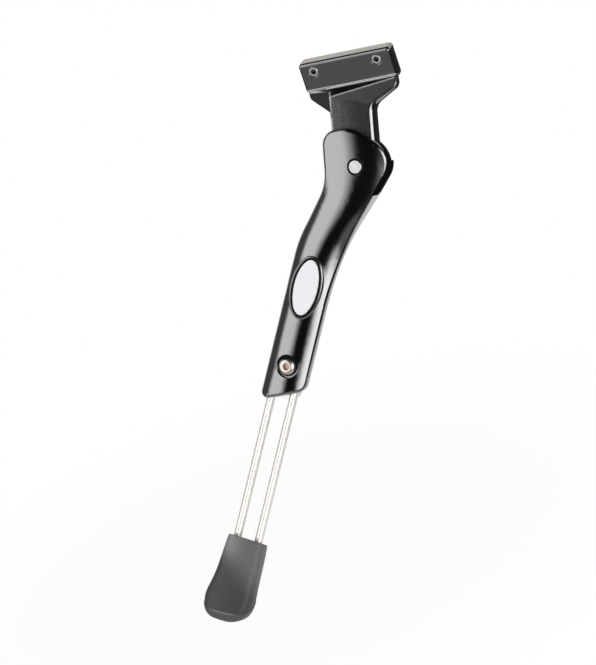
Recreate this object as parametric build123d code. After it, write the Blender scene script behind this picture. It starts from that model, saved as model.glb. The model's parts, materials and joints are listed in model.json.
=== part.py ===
from build123d import *
import os
from math import cos, radians, sin, tan

# Bicycle kickstand: a cast head that is screwed to the frame, a cast leg that folds on it, an
# adjustable stainless rod and a rubber foot. Millimetres, +Z up. The origin is on the head's back
# face, midway between the two screws. +X runs along the screw line to the rear of the bicycle,
# and +Y points at the wheel.

# Head plate
SCREW_SPACING = 40.0
PLATE_REAR_END = 29.9
PLATE_FRONT_END = 28.4
PLATE_HEIGHT = 17.0
PLATE_ABOVE_SCREWS = 5.9
PLATE_DEPTH = 10.5
PLATE_BACK_DROP = 3.2
PLATE_BACK_STEP = 5.0
PLATE_BACK_CORNER = 3.0
PLATE_FACE_CORNER = 2.0
PLATE_EDGE = 1.9
CAST_EDGE = 1.1

# Head screws
SCREW_DIAMETER = 6.0
SCREW_PROUD_AT_BACK = 6.0
SCREW_GRIP_PROUD = 0.4
STUD_DIAMETER = 5.8
SCREW_SINK = 0.3
SCREW_SOCKET = 3.0
SCREW_SOCKET_DEPTH = 3.0
SCREW_CHAMFER = 0.5

# Plane of the leg, tipped outwards about the screw line, and the place of the pivot in it
SPLAY = 21.6
PIVOT_DROP = 61.5
PIVOT_FORWARD = 4.0

# Neck and tongue of the head
NECK_FRONT_SIDE = 14.5
NECK_REAR_SIDE = 12.5
NECK_THICKNESS = 8.0
NECK_LEAN = 6.2
NECK_TOP_DROP = 5.5
GUSSET_END_DROP_REAR = 7.8
GUSSET_END_DROP_FRONT = 5.5
GUSSET_END_ROUND = 5.0
GUSSET_DROP_REAR = 16.2
GUSSET_DROP_FRONT = 16.2
GUSSET_SWEEP_REAR = 8.0
GUSSET_SWEEP_FRONT = 3.0
SHOULDER_DROP = 6.6
RIDGE_END_DROP = 2.4
RIDGE_END_RISE = 1.9
GUSSET_STEP_FRONT = 2.0
NECK_EDGE = 0.7
NECK_REAR_EDGE = 3.2
TONGUE_FLAT = 6.5

# Pivot
PIN_DIAMETER = 8.0
PIN_CLEARANCE = 0.04
PIN_PRESS_GAP = 0.02
PIN_DOME = 0.5
PIN_REAR_HEAD_DIAMETER = 12.0
PIN_REAR_HEAD = 1.8
PIN_RING_DIAMETER = 10.6
PIN_RING_DEPTH = 0.7
FOLD_ANGLE = 115.0
STOP_GAP = 0.25

# Leg casting: clevis
CHEEK_GAP = 0.2
FRONT_CHEEK = 4.0
REAR_CHEEK = 3.2
LEG_TOP = 23.8
LEG_TOP_SLOPE = 47.8
LEG_TOP_SLOPE_OFFSET = 18.6
REAR_CHEEK_RADIUS = 17.6
LEG_LEFT_LEAN = 7.5
LEG_LEFT_OFFSET = 20.8

# Leg casting: bend and shaft
BEND_LEFT_LEAN = 39.5
BEND_LEFT_OFFSET = 12.8
BEND_RIGHT_LEAN = 42.0
BEND_RIGHT_OFFSET = 17.1
LEG_LEAN = 25.8
LEG_AXIS_OFFSET = 12.7
LEG_WIDTH = 26.6
LEG_BOTTOM = 125.6
LEG_WALL = 3.2
LEG_SKIN = 3.1
LEG_EDGE = 2.2
SHAFT_FRONT = 6.5
SHAFT_BACK = -1.6
BACK_TAPER_START = 7.0
BACK_TAPER_END = 52.0
CHANNEL_TOP = 40.0

# Crowned front of the leg: radius and half width of its cross sections, and the run they follow
CLEVIS_CROWN_RADIUS = 70.0
CLEVIS_CROWN_HALF_WIDTH = 25.0
CLEVIS_AXIS_OFFSET = 2.0
CLEVIS_AXIS_UP = 34.0
SHAFT_CROWN_RADIUS = 24.0
SHAFT_CROWN_HALF_WIDTH = 18.0
CROWN_BLEND_START = 24.0
CROWN_BLEND_LENGTH = 60.0
CROWN_TURN_UPPER = 60.0
CROWN_TURN_LOWER = 120.0
CROWN_STATIONS = 37
CROWN_POINTS = 9

# Outline corners of the leg, clockwise from the top left
CORNER_TOP_LEFT = 9.0
CORNER_TOP = 20.0
CORNER_RIGHT = 15.0
CORNER_BEND_RIGHT = 200.0
CORNER_BOTTOM_RIGHT = 7.0
CORNER_BOTTOM_LEFT = 4.0
CORNER_BEND_LEFT = 60.0
CORNER_LEFT = 30.0

# Hold spring between the tongue and the leg
SPRING_ANGLE = 52.0
SPRING_ARM = 6.0
SPRING_LENGTH = 22.0
SPRING_DIAMETER = 7.6
SPRING_WIRE = 1.3
SPRING_TURNS = 6
SPRING_WIRE_SIDES = 6
SPRING_ROOM = 0.5
PEG_LENGTH = 2.6
PEG_GAP = 0.3

# Badge seat and badge
BADGE_DOWN = 78.0
BADGE_LENGTH = 34.0
BADGE_WIDTH = 15.0
BADGE_RIM = 2.6
BADGE_RIM_RISE = 0.5
BADGE_RIM_EDGE = 1.0
BADGE_SINK = 0.9
BADGE_EDGE = 0.7
BADGE_DOME = 0.6
BADGE_GAP = 0.15

# Clamp
CLAMP_DOWN = 127.0
CLAMP_SCREW_DIAMETER = 6.0
CLAMP_HEAD_DIAMETER = 10.5
CLAMP_HEAD_HEIGHT = 3.3
CLAMP_HEAD_ROUND = 2.3
CLAMP_SOCKET = 4.0
CLAMP_SOCKET_DEPTH = 2.0
CLAMP_COUNTERBORE = 14.0
CLAMP_COUNTERBORE_DEPTH = 2.0
CLAMP_BLOCK_TOP = 114.0
CLAMP_BLOCK_BOTTOM = 145.0
CLAMP_BLOCK_DEPTH = 5.0
CLAMP_BLOCK_ROUND = 8.0
CLAMP_GAP = 0.4

# Rod
ROD_DIAMETER = 5.0
ROD_SIDE_GAP = 0.75
ROD_TOP = 92.0
ROD_BOTTOM = 271.0
ROD_GAP = 0.1

# Foot
FOOT_TOP = 236.5
FOOT_TOP_WIDTH = 23.6
FOOT_TOP_DEPTH = 14.0
FOOT_TOP_SHIFT = -0.5
FOOT_WAIST = 254.0
FOOT_WAIST_WIDTH = 26.6
FOOT_WAIST_DEPTH = 16.0
FOOT_WAIST_SHIFT = 0.5
FOOT_TOE = 274.0
FOOT_TOE_WIDTH = 30.4
FOOT_TOE_DEPTH = 18.0
FOOT_TOE_SHIFT = 2.2
FOOT_ROUND = 0.42
FOOT_BOTTOM = 288.5
FOOT_SOLE_RADIUS = 17.2
FOOT_SOLE_SHIFT = 2.0
FOOT_EDGE = 0.8
FOOT_SOLE_EDGE = 3.5

# Gap round a thread, a ground end or a moulded wire, and the lean of a level line
FIT_GAP = 0.05
LEVEL = 90.0

half_tongue = NECK_THICKNESS / 2
half_slot = half_tongue + CHEEK_GAP
clevis_front = half_slot + FRONT_CHEEK
clevis_back = -half_slot - REAR_CHEEK
roof = SHAFT_FRONT - LEG_SKIN
rod_depth = roof - ROD_GAP - ROD_DIAMETER / 2
plate_bottom = PLATE_ABOVE_SCREWS - PLATE_HEIGHT
channel_width = LEG_WIDTH - 2 * LEG_WALL
rod_spacing = channel_width - ROD_DIAMETER - 2 * ROD_SIDE_GAP
boss_diameter = rod_spacing - ROD_DIAMETER - 2 * CLAMP_GAP
far = 400.0


def leaning(lean):
    """Unit vector that points down the leg and leans forwards by an angle."""
    return Vector(-sin(radians(lean)), -cos(radians(lean)))


def across(lean):
    """Unit vector square to a leaning line, to its rear side."""
    return Vector(cos(radians(lean)), -sin(radians(lean)))


# In the leg's plane x runs with the screw line, y up the leg and z out towards the rider.
plate_middle = Vector(0, -PLATE_DEPTH / 2, 0)
leg_normal = Vector(0, -cos(radians(SPLAY)), sin(radians(SPLAY)))
leg_up = Vector(0, sin(radians(SPLAY)), cos(radians(SPLAY)))
pivot = plate_middle - leg_up * PIVOT_DROP - Vector(PIVOT_FORWARD, 0, 0)
leg_plane = Plane(origin=pivot, x_dir=(1, 0, 0), z_dir=leg_normal)

# Along the shaft x runs across it and y up its axis, from a point level with the pivot.
shaft_origin = across(LEG_LEAN) * -LEG_AXIS_OFFSET
shaft_plane = Plane(origin=shaft_origin, x_dir=across(LEG_LEAN), z_dir=(0, 0, 1))

# Along the hold spring z runs from the tongue's flat to the leg's seat.
spring_top = across(SPRING_ANGLE) * SPRING_ARM + leaning(SPRING_ANGLE) * TONGUE_FLAT
spring_plane = Plane(origin=spring_top, x_dir=(0, 0, 1), z_dir=leaning(SPRING_ANGLE))


def in_leg(point):
    """Place of a point of the head in the leg's plane."""
    return leg_plane.to_local_coords(Vector(*point))


def meet(first, second):
    """Point where two lines cross, each given by its lean and its distance from the pivot."""
    a = across(first[0])
    b = across(second[0])
    span = a.X * b.Y - a.Y * b.X
    x = (first[1] * b.Y - second[1] * a.Y) / span
    y = (a.X * second[1] - b.X * first[1]) / span
    return (x, y)


def prism(outline, low, high):
    """Solid between two depths over an outline."""
    return Pos(0, 0, low) * extrude(make_face(outline), high - low, dir=(0, 0, 1))


def leg_outline():
    """Front view of the leg: clevis with a sloping top, bend, shaft and level foot cut."""
    left = (LEG_LEFT_LEAN, -LEG_LEFT_OFFSET)
    top = (-LEVEL, LEG_TOP)
    slope = (-LEG_TOP_SLOPE, LEG_TOP_SLOPE_OFFSET)
    bend_right = (BEND_RIGHT_LEAN, BEND_RIGHT_OFFSET)
    shaft_right = (LEG_LEAN, LEG_WIDTH / 2 - LEG_AXIS_OFFSET)
    bottom = (LEVEL, LEG_BOTTOM)
    shaft_left = (LEG_LEAN, -LEG_WIDTH / 2 - LEG_AXIS_OFFSET)
    bend_left = (BEND_LEFT_LEAN, -BEND_LEFT_OFFSET)
    sides = [left, top, slope, bend_right, shaft_right, bottom, shaft_left, bend_left]
    corners = [meet(side, sides[(i + 1) % len(sides)]) for i, side in enumerate(sides)]
    rounds = [CORNER_TOP_LEFT, CORNER_TOP, CORNER_RIGHT, CORNER_BEND_RIGHT]
    rounds += [CORNER_BOTTOM_RIGHT, CORNER_BOTTOM_LEFT, CORNER_BEND_LEFT, CORNER_LEFT]
    return FilletPolyline(*corners, radius=rounds, close=True)


def leg_run():
    """Middle line of the leg, from above the clevis through the bend to below the shaft."""
    clevis = (0, -CLEVIS_AXIS_OFFSET)
    bend = ((BEND_LEFT_LEAN + BEND_RIGHT_LEAN) / 2, (BEND_RIGHT_OFFSET - BEND_LEFT_OFFSET) / 2)
    shaft = (LEG_LEAN, -LEG_AXIS_OFFSET)
    end = shaft_origin + leaning(LEG_LEAN) * (LEG_BOTTOM + 2 * LEG_WIDTH)
    points = [(-CLEVIS_AXIS_OFFSET, CLEVIS_AXIS_UP), meet(clevis, bend), meet(bend, shaft), end]
    return FilletPolyline(*points, radius=[CROWN_TURN_UPPER, CROWN_TURN_LOWER])


def crown():
    """Crowned front of the leg, flatter at the clevis and rounder along the shaft."""
    run = leg_run()
    rows = []
    for station in range(CROWN_STATIONS):
        place = station / (CROWN_STATIONS - 1)
        blend = min(max((place * run.length - CROWN_BLEND_START) / CROWN_BLEND_LENGTH, 0), 1)
        blend = blend * blend * (3 - 2 * blend)
        bulge = (1 - blend) / CLEVIS_CROWN_RADIUS + blend / SHAFT_CROWN_RADIUS
        front = (1 - blend) * clevis_front + blend * SHAFT_FRONT
        half_width = (1 - blend) * CLEVIS_CROWN_HALF_WIDTH + blend * SHAFT_CROWN_HALF_WIDTH
        along = run % place
        side = Vector(-along.Y, along.X)
        row = []
        for point in range(CROWN_POINTS):
            out = half_width * (2 * point / (CROWN_POINTS - 1) - 1)
            row.append(run @ place + side * out + Vector(0, 0, front - bulge * out * out / 2))
        rows.append(row)
    return extrude(Face.make_surface_from_array_of_points(rows), far, dir=(0, 0, -1))


def back_relief():
    """What is cut from the back of the leg, so that it thins from the clevis to the shaft."""
    start = (-BACK_TAPER_START, clevis_back)
    end = (-BACK_TAPER_END, SHAFT_BACK)
    taper = Spline(start, end, tangents=[(-1, 0), (-1, 0)])
    rest = Polyline(end, (-far, SHAFT_BACK), (-far, -far), (-BACK_TAPER_START, -far), start)
    side_view = Plane(origin=(0, 0, 0), x_dir=(0, 1, 0), z_dir=(1, 0, 0))
    return shaft_plane * extrude(side_view * make_face(taper + rest), far, both=True)


def rear_trim():
    """What is cut from the top of the rear cheek, which is lower than the front one and round."""
    above = Pos(0, far / 2) * Rectangle(far, far) - Circle(REAR_CHEEK_RADIUS)
    return Pos(0, 0, -far) * extrude(above, far - half_slot)


def fold_room():
    """Room between the cheeks that the neck sweeps, with a stop face at each end of the fold."""
    rest = leaning(NECK_LEAN) * -1
    folded = leaning(NECK_LEAN + FOLD_ANGLE) * -1
    rest_side = (NECK_LEAN, -NECK_FRONT_SIDE - STOP_GAP)
    folded_side = (NECK_LEAN + FOLD_ANGLE, NECK_REAR_SIDE + STOP_GAP)
    apex = Vector(*meet(rest_side, folded_side))
    ends = [apex + rest * far, apex + (rest + folded) * far, apex + folded * far]
    return prism(Polyline(apex, *ends, close=True), -half_slot, half_slot)


def spring_room():
    """Pocket that carries the hold spring from the fold room down to its seat."""
    width = SPRING_DIAMETER + 2 * SPRING_ROOM
    pocket = Pos(0, 0, SPRING_LENGTH / 2) * Box(2 * half_slot, width, SPRING_LENGTH)
    return spring_plane * (pocket - spring_peg(SPRING_LENGTH - PEG_LENGTH))


def spring_peg(start):
    """Short peg that keeps one end of the hold spring in place, along the spring's axis."""
    radius = SPRING_DIAMETER / 2 - SPRING_WIRE - PEG_GAP
    return Pos(0, 0, start + PEG_LENGTH / 2) * Cylinder(radius, PEG_LENGTH)


def rod_channel():
    """Open channel along the back of the shaft, down to the foot cut."""
    inside = offset(make_face(leg_outline()), amount=-LEG_WALL)
    inside &= shaft_plane * Pos(0, -CHANNEL_TOP - far / 2) * Rectangle(far, far)
    mouth = Pos(0, -CLAMP_BLOCK_TOP - far / 2) * Rectangle(channel_width, far)
    channel = extrude(inside, far, dir=(0, 0, -1)) + extrude(shaft_plane * mouth, far, dir=(0, 0, -1))
    return Pos(0, 0, roof) * channel


def at_shaft(down, depth):
    """Place on the shaft's axis, a way down from the pivot and at a depth."""
    return shaft_plane * Pos(0, -down, depth)


def upright(radius, low, high):
    """Cylinder square to the leg's plane, between two depths."""
    return Pos(0, 0, (low + high) / 2) * Cylinder(radius, high - low)


def badge_oval(grow):
    """Oval of the badge, grown by a margin all round."""
    return Ellipse(BADGE_WIDTH / 2 + grow, BADGE_LENGTH / 2 + grow)


def badge_seat():
    """Raised oval rim on the crowned front."""
    height = SHAFT_FRONT + BADGE_RIM_RISE - roof
    seat = extrude(badge_oval(BADGE_RIM), height)
    seat = fillet(seat.edges().group_by(Axis.Z)[-1], BADGE_RIM_EDGE)
    return at_shaft(BADGE_DOWN, roof) * seat


badge_floor = SHAFT_FRONT + BADGE_RIM_RISE - BADGE_SINK
clamp_floor = SHAFT_FRONT - CLAMP_COUNTERBORE_DEPTH
block_front = rod_depth - CLAMP_GAP


def leg_body():
    """Cast leg: clevis with two cheeks and two stops, bend, crowned shaft and rod channel."""
    leg = prism(leg_outline(), clevis_back, clevis_front + LEG_EDGE) & crown()
    leg -= back_relief()
    leg = fillet(leg.faces().sort_by(Axis.Z)[-1].outer_wire().edges(), LEG_EDGE)
    leg += badge_seat()
    leg -= at_shaft(BADGE_DOWN, badge_floor) * extrude(badge_oval(BADGE_GAP), far)
    leg -= rear_trim()
    leg -= fold_room()
    leg -= spring_room()
    leg -= rod_channel()
    clamp = at_shaft(CLAMP_DOWN, 0)
    leg += clamp * upright(boss_diameter / 2, block_front + STOP_GAP, clamp_floor)
    leg -= clamp * upright(CLAMP_SCREW_DIAMETER / 2 + FIT_GAP, -far, far)
    leg -= clamp * upright(CLAMP_COUNTERBORE / 2, clamp_floor, far)
    leg -= upright(PIN_DIAMETER / 2 + PIN_PRESS_GAP, -far, far)
    leg -= upright(PIN_RING_DIAMETER / 2, clevis_front - PIN_RING_DEPTH, far)
    return leg


def plane_through(first, second, third):
    """Plane through three points, facing out of the leg's plane."""
    normal = (second - first).cross(third - first)
    if normal.Z < 0:
        normal = normal * -1
    return Plane(origin=first, x_dir=second - first, z_dir=normal)


def ahead_of(plane):
    """All that lies in front of a plane."""
    return plane * Pos(0, 0, far / 2) * Box(far, far, far)


def neck_edge(side, height, depth):
    """Point on a side of the neck, given by its distance from the axis, at a height above the pivot."""
    x = side / cos(radians(NECK_LEAN)) + height * tan(radians(NECK_LEAN))
    return Vector(x, height, depth)


def neck():
    """Neck and tongue, with gussets that spread to the ends of the plate."""
    end_rear = in_leg((PLATE_REAR_END, PLATE_EDGE - PLATE_DEPTH, plate_bottom))
    end_front = in_leg((-PLATE_FRONT_END, PLATE_EDGE - PLATE_DEPTH, plate_bottom))
    top = in_leg((0, -PLATE_DEPTH / 2, plate_bottom + NECK_TOP_DROP)).Y
    low = end_rear.Y
    corners = [
        (end_front.X + CAST_EDGE, top),
        (end_rear.X - CAST_EDGE, top),
        (end_rear.X - CAST_EDGE, low - GUSSET_END_DROP_REAR),
        neck_edge(NECK_REAR_SIDE, low - GUSSET_DROP_REAR, 0),
        neck_edge(NECK_REAR_SIDE, 0, 0),
        neck_edge(-NECK_FRONT_SIDE, 0, 0),
        neck_edge(-NECK_FRONT_SIDE, low - GUSSET_DROP_FRONT, 0),
        (end_front.X + CAST_EDGE, low - GUSSET_END_DROP_FRONT),
    ]
    rounds = [0, 0, GUSSET_END_ROUND, GUSSET_SWEEP_REAR, 0, 0, GUSSET_SWEEP_FRONT, GUSSET_END_ROUND]
    slab = prism(FilletPolyline(*corners, radius=rounds, close=True), -half_tongue, half_tongue)
    slab = fillet([edge for edge in slab.edges().group_by(Axis.Z)[-1] if is_rear(edge)], NECK_REAR_EDGE)
    ridge = neck_edge(-NECK_FRONT_SIDE, low - SHOULDER_DROP, half_tongue)
    crease = neck_edge(NECK_REAR_SIDE, low - GUSSET_DROP_REAR, half_tongue)
    ridge_end = end_rear + Vector(0, -RIDGE_END_DROP, RIDGE_END_RISE)
    slab -= ahead_of(plane_through(ridge, end_front, ridge_end))
    slab -= ahead_of(plane_through(ridge, crease, ridge_end))
    stepped = half_tongue - GUSSET_STEP_FRONT
    side = [neck_edge(-NECK_FRONT_SIDE, height, stepped) for height in (0, low)]
    slab -= ahead_of(plane_through(*side, end_front)) & neck_side_room()
    slab = fillet([edge for edge in slab.edges() if is_front_rim(edge, top) and not is_rear(edge)], NECK_EDGE)
    slab = trim_tongue(slab)
    slab += spring_plane * spring_peg(0)
    return slab - upright(PIN_DIAMETER / 2 + PIN_CLEARANCE, -far, far)


def neck_side_room():
    """All that lies beside the neck, to its front."""
    side = [neck_edge(-NECK_FRONT_SIDE, 0, 0), neck_edge(-NECK_FRONT_SIDE, far, 0)]
    return prism(Polyline(*side, (-far, far), (-far, 0), close=True), -far, far)


def trim_tongue(slab):
    """Round end of the tongue about the pivot, with a flat for the hold spring."""
    slab += upright(NECK_REAR_SIDE, -half_tongue, half_tongue)
    return slab - ahead_of(Plane(origin=leaning(SPRING_ANGLE) * TONGUE_FLAT, z_dir=leaning(SPRING_ANGLE)))


def is_front_rim(edge, top):
    """True for an edge in front of the neck's back face, between the tongue and the plate."""
    first = edge @ 0
    last = edge @ 1
    in_front = min(first.Z, last.Z) > -half_tongue / 2
    return in_front and max(first.Y, last.Y) > NECK_REAR_SIDE and min(first.Y, last.Y) < top - CAST_EDGE


def is_rear(edge):
    """True for an edge at the rear side of the neck."""
    return min((edge @ 0).X, (edge @ 1).X) > NECK_REAR_SIDE / 2


def head_plate():
    """Plate that lies on the frame, with round corners in front and a back that reaches lower."""
    front = [(-PLATE_FRONT_END, -PLATE_DEPTH), (PLATE_REAR_END, -PLATE_DEPTH)]
    back = [(PLATE_REAR_END, 0), (-PLATE_FRONT_END, 0)]
    rounds = [0, 0, PLATE_BACK_CORNER, PLATE_BACK_CORNER]
    low = plate_bottom - PLATE_BACK_DROP
    plate = prism(FilletPolyline(*front, *back, radius=rounds, close=True), low, PLATE_ABOVE_SCREWS)
    step = Plane.YZ * make_face(Polyline(
        (-far, plate_bottom), (-PLATE_DEPTH, plate_bottom), (-PLATE_BACK_STEP, low), (-PLATE_BACK_STEP, -far),
        (-far, -far), close=True,
    ))
    plate -= extrude(step, far, both=True)
    plate = fillet(plate.edges().filter_by(Axis.Y), PLATE_FACE_CORNER)
    return fillet(plate.faces().sort_by(Axis.Y)[0].outer_wire().edges(), PLATE_EDGE)


def along_y(x, start, length):
    """Place on the screw line from which a screw or its hole runs to the back."""
    return Plane(origin=(x, start, 0), z_dir=(0, 1, 0)) * Pos(0, 0, length / 2)


screw_places = (-SCREW_SPACING / 2, SCREW_SPACING / 2)


def mount_head():
    """One casting: plate, gussets, neck and tongue."""
    head = head_plate() + leg_plane * neck()
    for x in screw_places:
        head -= along_y(x, 0, 0) * Cylinder(SCREW_DIAMETER / 2 + FIT_GAP, far)
    return head


def mount_screws():
    """Two socket screws that stand out of the back as studs, slightly thinner there."""
    grip = PLATE_DEPTH - SCREW_SINK + SCREW_GRIP_PROUD
    proud = SCREW_PROUD_AT_BACK - SCREW_GRIP_PROUD
    socket = extrude(RegularPolygon(SCREW_SOCKET / 2, 6, major_radius=False), SCREW_SOCKET_DEPTH)
    screws = []
    for x in screw_places:
        shank = chamfer(Cylinder(SCREW_DIAMETER / 2, grip).edges(), SCREW_CHAMFER)
        stud = Cylinder(STUD_DIAMETER / 2, proud)
        stud = chamfer(stud.edges().sort_by(Axis.Z)[-1], SCREW_CHAMFER)
        screw = along_y(x, SCREW_SINK - PLATE_DEPTH, grip) * shank
        screw -= along_y(x, SCREW_SINK - PLATE_DEPTH, 0) * socket
        screws.append(screw + along_y(x, SCREW_GRIP_PROUD, proud) * stud)
    return Compound(children=screws)


def pivot_pin():
    """Pin through the cheeks and the tongue, domed in front and headed behind."""
    front = clevis_front + PIN_DOME
    pin = upright(PIN_DIAMETER / 2, clevis_back, front)
    pin = fillet(pin.edges().group_by(Axis.Z)[-1], PIN_DOME)
    return pin + upright(PIN_REAR_HEAD_DIAMETER / 2, clevis_back - PIN_REAR_HEAD, clevis_back)


def hold_spring():
    """Compression spring with ground ends, between the tongue's flat and the leg's seat."""
    path = Helix(SPRING_LENGTH / SPRING_TURNS, SPRING_LENGTH, (SPRING_DIAMETER - SPRING_WIRE) / 2)
    section = RegularPolygon(SPRING_WIRE / 2, SPRING_WIRE_SIDES)
    wire = sweep(Plane(origin=path @ 0, z_dir=path % 0) * section, path=path)
    length = SPRING_LENGTH - 2 * FIT_GAP
    return spring_plane * (wire & Pos(0, 0, SPRING_LENGTH / 2) * Cylinder(SPRING_DIAMETER, length))


def badge():
    """Bare oval badge with a domed edge, laid in its seat."""
    plate = extrude(badge_oval(0), BADGE_EDGE + BADGE_DOME)
    return at_shaft(BADGE_DOWN, badge_floor) * fillet(plate.edges().group_by(Axis.Z)[-1], BADGE_DOME)


def clamp_screw():
    """Button head screw that draws the clamp block against the rod."""
    tip = block_front - CLAMP_BLOCK_DEPTH
    half_head = CLAMP_HEAD_DIAMETER / 2
    top = clamp_floor + CLAMP_HEAD_HEIGHT
    head = upright(half_head, clamp_floor, top)
    head = fillet(head.edges().group_by(Axis.Z)[-1], CLAMP_HEAD_ROUND)
    screw = head + upright(CLAMP_SCREW_DIAMETER / 2, tip, clamp_floor)
    socket = extrude(RegularPolygon(CLAMP_SOCKET / 2, 6, major_radius=False), CLAMP_SOCKET_DEPTH)
    screw -= Pos(0, 0, top - CLAMP_SOCKET_DEPTH) * socket
    return at_shaft(CLAMP_DOWN, 0) * screw


def clamp_block():
    """Grooved block behind the rod, tapped for the clamp screw."""
    height = CLAMP_BLOCK_BOTTOM - CLAMP_BLOCK_TOP
    plan = RectangleRounded(channel_width - 2 * CLAMP_GAP, height, CLAMP_BLOCK_ROUND)
    middle = (CLAMP_BLOCK_TOP + CLAMP_BLOCK_BOTTOM) / 2
    block = at_shaft(middle, block_front - CLAMP_BLOCK_DEPTH) * extrude(plan, CLAMP_BLOCK_DEPTH)
    for side in (-1, 1):
        groove = Rot(LEVEL, 0, 0) * Cylinder(ROD_DIAMETER / 2 + FIT_GAP, far)
        block -= shaft_plane * Pos(side * rod_spacing / 2, -middle, rod_depth) * groove
    return block - at_shaft(CLAMP_DOWN, 0) * upright(CLAMP_SCREW_DIAMETER / 2 + FIT_GAP, -far, far)


def rod_wire(radius, top):
    """Wire bent to a U, its two legs along the shaft."""
    half = rod_spacing / 2
    turn = -ROD_BOTTOM + ROD_DIAMETER / 2 + half
    left = Line((-half, -top), (-half, turn))
    bend = ThreePointArc((-half, turn), (0, turn - half), (half, turn))
    right = Line((half, turn), (half, -top))
    section = Plane(origin=(-half, -top, 0), z_dir=(0, -1, 0)) * Circle(radius)
    return shaft_plane * Pos(0, 0, rod_depth) * sweep(section, path=left + bend + right)


def support_rod():
    """Stainless wire that carries the foot and slides in the leg."""
    return rod_wire(ROD_DIAMETER / 2, ROD_TOP)


def foot_section(down, width, depth, shift):
    """Rounded section of the foot, square to the rod."""
    section = Plane(origin=(-shift, -down, 0), x_dir=(1, 0, 0), z_dir=(0, -1, 0))
    return section * RectangleRounded(width, depth, depth * FOOT_ROUND)


def rubber_foot():
    """Rubber shoe with a forward toe and a round sole, moulded over the bend of the rod."""
    deep = 2 * FOOT_BOTTOM - FOOT_TOE
    foot = loft([
        foot_section(FOOT_TOP, FOOT_TOP_WIDTH, FOOT_TOP_DEPTH, FOOT_TOP_SHIFT),
        foot_section(FOOT_WAIST, FOOT_WAIST_WIDTH, FOOT_WAIST_DEPTH, FOOT_WAIST_SHIFT),
        foot_section(FOOT_TOE, FOOT_TOE_WIDTH, FOOT_TOE_DEPTH, FOOT_TOE_SHIFT),
        foot_section(deep, FOOT_TOE_WIDTH, FOOT_TOE_DEPTH, FOOT_TOE_SHIFT),
    ])
    turn = FOOT_SOLE_RADIUS - FOOT_BOTTOM
    above = Pos(0, turn + far / 2) * Rectangle(far, far)
    sole = Pos(-FOOT_SOLE_SHIFT, turn) * Circle(FOOT_SOLE_RADIUS)
    foot &= extrude(above + sole, far, both=True)
    foot = fillet(foot.faces().sort_by(Axis.Y)[0].outer_wire().edges(), FOOT_SOLE_EDGE)
    foot = fillet(foot.faces().sort_by(Axis.Y)[-1].outer_wire().edges(), FOOT_EDGE)
    foot = shaft_plane * Pos(0, 0, rod_depth) * foot
    return foot - rod_wire(ROD_DIAMETER / 2 + FIT_GAP, FOOT_TOP - FOOT_EDGE)


in_leg_plane = {
    "leg_body": leg_body,
    "pivot_pin": pivot_pin,
    "hold_spring": hold_spring,
    "badge": badge,
    "clamp_screw": clamp_screw,
    "clamp_block": clamp_block,
    "support_rod": support_rod,
    "rubber_foot": rubber_foot,
}

if __name__ == "__main__":
    os.makedirs("parts", exist_ok=True)
    export_step(mount_head(), "parts/mount_head.step")
    export_step(mount_screws(), "parts/mount_screws.step")
    for name, make in in_leg_plane.items():
        export_step(leg_plane * make(), f"parts/{name}.step")
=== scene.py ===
import json
from collections import namedtuple
from math import cos, radians, sin, tau

import bpy
from bpy.props import FloatProperty, FloatVectorProperty, IntProperty, PointerProperty
from mathutils import Matrix, Vector


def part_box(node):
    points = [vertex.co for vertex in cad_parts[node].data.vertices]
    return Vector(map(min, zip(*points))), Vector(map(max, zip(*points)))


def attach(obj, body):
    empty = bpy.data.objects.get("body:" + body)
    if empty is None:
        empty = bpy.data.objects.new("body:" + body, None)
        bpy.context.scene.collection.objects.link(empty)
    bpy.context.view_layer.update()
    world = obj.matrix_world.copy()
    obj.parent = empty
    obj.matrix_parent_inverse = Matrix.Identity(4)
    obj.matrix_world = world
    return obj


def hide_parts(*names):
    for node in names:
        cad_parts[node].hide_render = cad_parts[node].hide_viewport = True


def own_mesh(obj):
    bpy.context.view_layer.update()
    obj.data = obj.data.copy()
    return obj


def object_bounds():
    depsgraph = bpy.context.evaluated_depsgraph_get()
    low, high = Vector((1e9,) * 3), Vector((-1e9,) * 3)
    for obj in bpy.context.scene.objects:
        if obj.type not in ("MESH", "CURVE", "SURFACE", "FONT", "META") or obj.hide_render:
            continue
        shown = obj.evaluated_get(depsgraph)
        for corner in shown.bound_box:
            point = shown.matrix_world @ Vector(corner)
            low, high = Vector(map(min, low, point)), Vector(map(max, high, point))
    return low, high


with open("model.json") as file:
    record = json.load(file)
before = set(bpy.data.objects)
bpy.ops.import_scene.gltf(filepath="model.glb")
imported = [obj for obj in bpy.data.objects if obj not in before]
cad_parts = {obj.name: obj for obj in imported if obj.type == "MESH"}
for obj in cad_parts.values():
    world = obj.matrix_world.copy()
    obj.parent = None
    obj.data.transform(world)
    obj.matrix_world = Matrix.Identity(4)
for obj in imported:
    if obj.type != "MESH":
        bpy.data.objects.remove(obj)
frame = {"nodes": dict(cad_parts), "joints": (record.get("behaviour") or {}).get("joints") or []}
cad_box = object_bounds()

bl_info = {
    "name": "Bicycle kickstand",
    "version": (1, 0, 0),
    "blender": (4, 5, 0),
    "location": "View3D > Sidebar > Kickstand",
    "description": "Dresses the packed kickstand with finished pieces, materials and a small studio",
    "category": "Object",
}

nodes = frame["nodes"]

# Directions of the shared frame: to the rear of the bicycle, in through the plate, and up.
origin = Vector((0, 0, 0))
rear = Vector((1, 0, 0))
inward = Vector((0, 1, 0))
up = Vector((0, 0, 1))

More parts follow.
